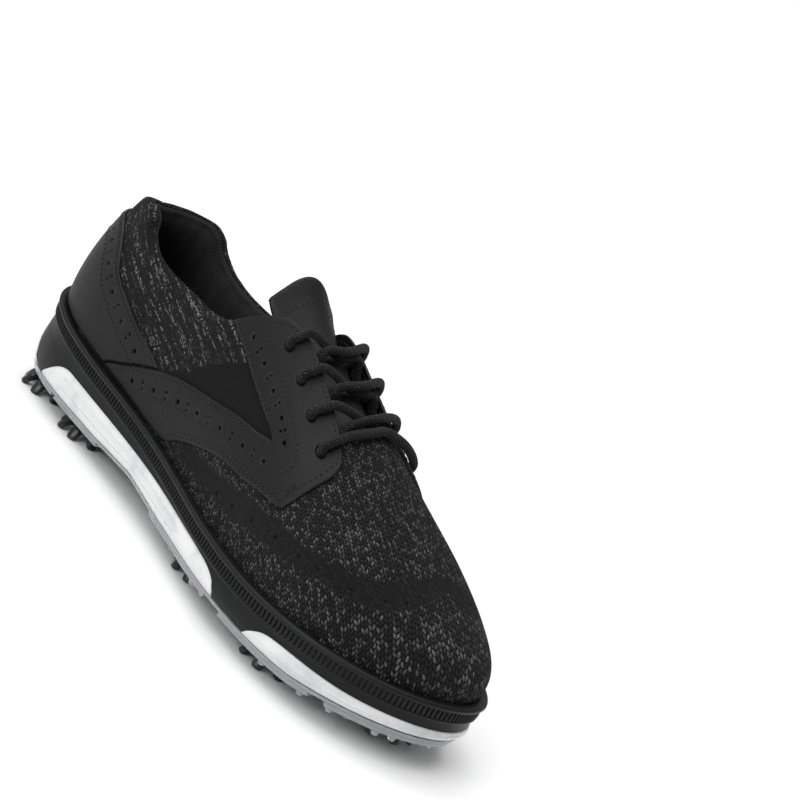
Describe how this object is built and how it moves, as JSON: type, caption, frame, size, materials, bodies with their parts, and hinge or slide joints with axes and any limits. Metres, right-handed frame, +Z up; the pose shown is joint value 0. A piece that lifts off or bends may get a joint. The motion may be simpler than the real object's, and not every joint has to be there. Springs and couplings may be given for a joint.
{
  "type": "golf shoe",
  "caption": "Low laced golf shoe with knit upper, perforated wing overlays and a cleated sole with twist-lock cleats.",
  "frame": {"origin": "centre of the bounding box in plan, at the floor that the cleats stand on", "axes": "+X towards the toe, +Y towards the medial side, +Z up; a right shoe"},
  "size_m": [0.3024, 0.106, 0.121],
  "materials": {
    "vamp_knit": "heathered engineered knit",
    "quarter_knit": "heathered knit with light streaks",
    "overlay": "semi-matte smooth leather-like",
    "lining": "dark mesh",
    "board": "fibreboard",
    "insole": "fabric-covered foam",
    "lace": "braided round cord",
    "midsole": "satin foam",
    "sidewall": "satin white",
    "clear": "clear moulded",
    "web": "satin black",
    "medallion": "diamond-patterned grey",
    "receptacle": "black",
    "cleat": "semi-gloss black"
  },
  "bodies": {
    "shoe": {"vamp_knit": "vamp_knit", "quarter_knit_lateral": "quarter_knit", "quarter_knit_medial": "quarter_knit", "wing_lateral": "overlay", "wing_medial": "overlay", "heel_foxing": "overlay", "heel_counter": "board", "toe_puff": "board", "collar_lining": "lining", "lace": "lace", "lasting_board": "board", "insole": "insole", "midsole": "midsole", "shank_plate": "board", "sidewall_heel": "sidewall", "sidewall_lateral": "sidewall", "sidewall_medial": "sidewall", "sidewall_toe": "sidewall", "outsole_plate": "clear", "forefoot_web": "web", "waist_medallion": "medallion", "waist_frame": "web", "pod_heel_rear_lateral": "clear", "pod_heel_rear_medial": "clear", "pod_heel_front_lateral": "clear", "pod_heel_front_medial": "clear", "pod_ball_rear_lateral": "clear", "pod_ball_rear_medial": "clear", "pod_ball_front_lateral": "clear", "pod_ball_front_medial": "clear", "pod_toe": "clear", "receptacle_heel_rear_lateral": "receptacle", "receptacle_heel_rear_medial": "receptacle", "receptacle_heel_front_lateral": "receptacle", "receptacle_heel_front_medial": "receptacle", "receptacle_ball_rear_lateral": "receptacle", "receptacle_ball_rear_medial": "receptacle", "receptacle_ball_front_lateral": "receptacle", "receptacle_ball_front_medial": "receptacle", "receptacle_toe": "receptacle"},
    "tongue": {"tongue_shell": "overlay", "tongue_lining": "lining"},
    "cleat_heel_rear_lateral": {"cleat_heel_rear_lateral": "cleat"},
    "cleat_heel_rear_medial": {"cleat_heel_rear_medial": "cleat"},
    "cleat_heel_front_lateral": {"cleat_heel_front_lateral": "cleat"},
    "cleat_heel_front_medial": {"cleat_heel_front_medial": "cleat"},
    "cleat_ball_rear_lateral": {"cleat_ball_rear_lateral": "cleat"},
    "cleat_ball_rear_medial": {"cleat_ball_rear_medial": "cleat"},
    "cleat_ball_front_lateral": {"cleat_ball_front_lateral": "cleat"},
    "cleat_ball_front_medial": {"cleat_ball_front_medial": "cleat"},
    "cleat_toe": {"cleat_toe": "cleat"}
  },
  "joints": [
    {"name": "tongue_press", "type": "hinge", "parent": "shoe", "child": "tongue", "pos_m": [0.0603, 0.00074, 0.0805], "axis": [0, -1, 0], "range_deg": [0, 8], "stiffness_Nm_per_rad": 0.06, "springref_deg": -20.05},
    {"name": "cleat_heel_rear_lateral_twist", "type": "hinge", "parent": "shoe", "child": "cleat_heel_rear_lateral", "pos_m": [-0.1227, -0.01516, 0.009], "axis": [0, 0, 1], "range_deg": [0, 60]},
    {"name": "cleat_heel_rear_medial_twist", "type": "hinge", "parent": "shoe", "child": "cleat_heel_rear_medial", "pos_m": [-0.1227, 0.01934, 0.009], "axis": [0, 0, 1], "range_deg": [0, 60]},
    {"name": "cleat_heel_front_lateral_twist", "type": "hinge", "parent": "shoe", "child": "cleat_heel_front_lateral", "pos_m": [-0.0837, -0.01766, 0.009], "axis": [0, 0, 1], "range_deg": [0, 60]},
    {"name": "cleat_heel_front_medial_twist", "type": "hinge", "parent": "shoe", "child": "cleat_heel_front_medial", "pos_m": [-0.0817, 0.02084, 0.009], "axis": [0, 0, 1], "range_deg": [0, 60]},
    {"name": "cleat_ball_rear_lateral_twist", "type": "hinge", "parent": "shoe", "child": "cleat_ball_rear_lateral", "pos_m": [0.0253, -0.02416, 0.009], "axis": [0, 0, 1], "range_deg": [0, 60]},
    {"name": "cleat_ball_rear_medial_twist", "type": "hinge", "parent": "shoe", "child": "cleat_ball_rear_medial", "pos_m": [0.0313, 0.02584, 0.009], "axis": [0, 0, 1], "range_deg": [0, 60]},
    {"name": "cleat_ball_front_lateral_twist", "type": "hinge", "parent": "shoe", "child": "cleat_ball_front_lateral", "pos_m": [0.0823, -0.02766, 0.009], "axis": [0, 0, 1], "range_deg": [0, 60]},
    {"name": "cleat_ball_front_medial_twist", "type": "hinge", "parent": "shoe", "child": "cleat_ball_front_medial", "pos_m": [0.0823, 0.03034, 0.009], "axis": [0, 0, 1], "range_deg": [0, 60]},
    {"name": "cleat_toe_twist", "type": "hinge", "parent": "shoe", "child": "cleat_toe", "pos_m": [0.1223, 0.00334, 0.0106], "axis": [-0.0995, 0, 0.995], "range_deg": [0, 60]}
  ]
}
